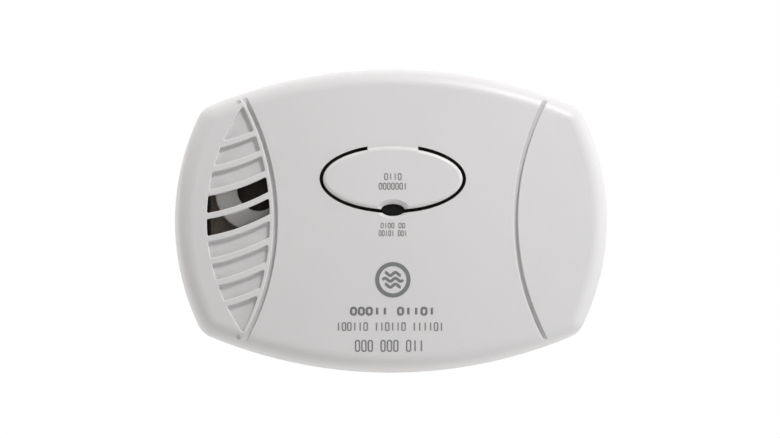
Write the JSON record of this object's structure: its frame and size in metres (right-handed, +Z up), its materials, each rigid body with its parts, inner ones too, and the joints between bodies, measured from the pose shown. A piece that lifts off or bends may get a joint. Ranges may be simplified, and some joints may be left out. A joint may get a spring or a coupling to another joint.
{
  "type": "carbon monoxide alarm",
  "caption": "Battery carbon monoxide alarm on a wall bracket: bowed white case, lens-shaped grille with sloping ribs, oval test button, battery door, horn and gas sensor inside",
  "frame": {"origin": "middle of the wall face of the mounting bracket, between its two screw holes", "axes": "X to the right as seen from the front, along the longest side; +Y into the wall, so the face looks along -Y; Z up"},
  "size_m": [0.115, 0.0386, 0.0808],
  "materials": {
    "cover_white": "white ABS, fine satin texture",
    "housing_white": "white ABS, satin",
    "window_smoke": "smoked acrylic, polished",
    "shield_black": "black moulded plastic",
    "lamp_body": "clear epoxy lamp chips",
    "board_mask": "solder-masked board",
    "switch_black": "black switch moulding",
    "horn_grey": "light grey moulded sounder case",
    "horn_brass": "dull brass disc with a ceramic spot",
    "tinned_pin": "tinned pins and leads",
    "sensor_metal": "pressed steel can and cap",
    "filter_charcoal": "charcoal felt",
    "chip_black": "black epoxy chip bodies",
    "ceramic_tan": "tan ceramic chips",
    "can_silver": "bare aluminium cans",
    "ferrite_grey": "ferrite spool with copper winding",
    "cell_jacket": "plain printed steel cell jacket",
    "spring_steel": "nickel-plated spring steel",
    "screw_zinc": "zinc-plated screws",
    "label_paper": "blank silver-white label",
    "bracket_white": "white ABS, satin"
  },
  "bodies": {
    "wall_bracket": {"mounting_bracket": "bracket_white"},
    "alarm": {"front_cover": "cover_white", "rear_housing": "housing_white", "indicator_window": "window_smoke", "light_shield": "shield_black", "indicator_lamps": "lamp_body", "circuit_board": "board_mask", "switch_body": "switch_black", "horn_housing": "horn_grey", "horn_disc": "horn_brass", "horn_pins": "tinned_pin", "sensor_can": "sensor_metal", "sensor_filter": "filter_charcoal", "sensor_cap": "sensor_metal", "sensor_pins": "tinned_pin", "microcontroller": "chip_black", "logic_chips": "chip_black", "chip_leads": "tinned_pin", "resistors": "chip_black", "ceramic_capacitors": "ceramic_tan", "electrolytic_capacitors": "can_silver", "boost_inductor": "ferrite_grey", "crystal": "can_silver", "battery_cells": "cell_jacket", "contact_springs": "spring_steel", "contact_plates": "spring_steel", "case_screws": "screw_zinc", "board_screws": "screw_zinc", "rear_label": "label_paper"},
    "test_button": {"test_button": "cover_white"},
    "switch_plunger": {"switch_plunger": "switch_black"},
    "battery_door": {"battery_door": "housing_white"}
  },
  "joints": [
    {"name": "alarm_lift", "type": "slide", "parent": "wall_bracket", "child": "alarm", "axis": [0, 0, 1], "range_m": [0, 0.007]},
    {"name": "button_press", "type": "hinge", "parent": "alarm", "child": "test_button", "pos_m": [0, -0.03691, -0.00063], "axis": [1, 0, 0], "range_deg": [0, 2.4], "stiffness_Nm_per_rad": 0.4, "springref_deg": -0.57},
    {"name": "plunger_travel", "type": "slide", "parent": "alarm", "child": "switch_plunger", "axis": [0, 1, 0], "range_m": [0, 0.0004]},
    {"name": "door_swing", "type": "hinge", "parent": "alarm", "child": "battery_door", "pos_m": [0, -0.002, -0.0246], "axis": [1, 0, 0], "range_deg": [0, 95]}
  ],
  "couplings": [
    {"joint": "plunger_travel", "follows": "button_press", "m_per_rad": 0.009375}
  ]
}
